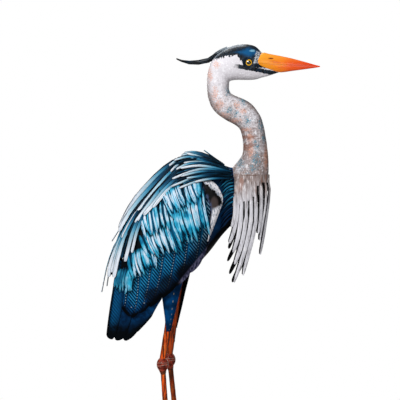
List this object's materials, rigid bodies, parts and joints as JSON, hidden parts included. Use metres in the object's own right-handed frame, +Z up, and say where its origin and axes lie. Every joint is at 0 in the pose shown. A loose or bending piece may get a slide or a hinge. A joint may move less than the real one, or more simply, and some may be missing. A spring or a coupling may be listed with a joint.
{
  "type": "heron garden statue",
  "caption": "Standing heron in painted sheet metal, with layered wing feathers, hanging chest plumes and rod legs on a low oval base plate.",
  "frame": {"origin": "centre of the base plate's underside", "axes": "+X towards the beak, +Y to the bird's left, +Z up"},
  "size_m": [0.5463, 0.24, 1.0195],
  "materials": {
    "steel": "dark brown, weathered",
    "navy": "navy paint, satin",
    "flight": "teal to navy paint with light barbs, satin",
    "covert": "white, light blue and teal paint, satin",
    "plume": "pale blue paint with black edges, satin",
    "cream": "off-white hammered paint with brown and blue flecks",
    "patch": "white and black paint, satin",
    "black": "black paint, semi-gloss",
    "beak": "orange paint, semi-gloss",
    "leg": "rust orange and brown paint, satin",
    "eye": "yellow and black paint, glossy"
  },
  "bodies": {
    "root": {"base_plate": "steel", "body": "navy", "neck_and_head": "cream", "beak": "beak", "crest": "black", "bib": "cream", "tail": "navy", "ridge_plumes": "plume", "left_eye": "eye", "left_flight_feathers": "flight", "left_coverts": "covert", "left_shoulder_patch": "patch", "left_shoulder_plumes": "plume", "left_back_plumes": "plume", "left_chest_plumes": "cream", "left_foot": "leg", "left_shank": "leg", "left_knee": "leg", "left_upper_leg": "leg", "left_thigh": "navy", "right_eye": "eye", "right_flight_feathers": "flight", "right_coverts": "covert", "right_shoulder_patch": "patch", "right_shoulder_plumes": "plume", "right_back_plumes": "plume", "right_chest_plumes": "cream", "right_foot": "leg", "right_shank": "leg", "right_knee": "leg", "right_upper_leg": "leg", "right_thigh": "navy"}
  },
  "joints": []
}
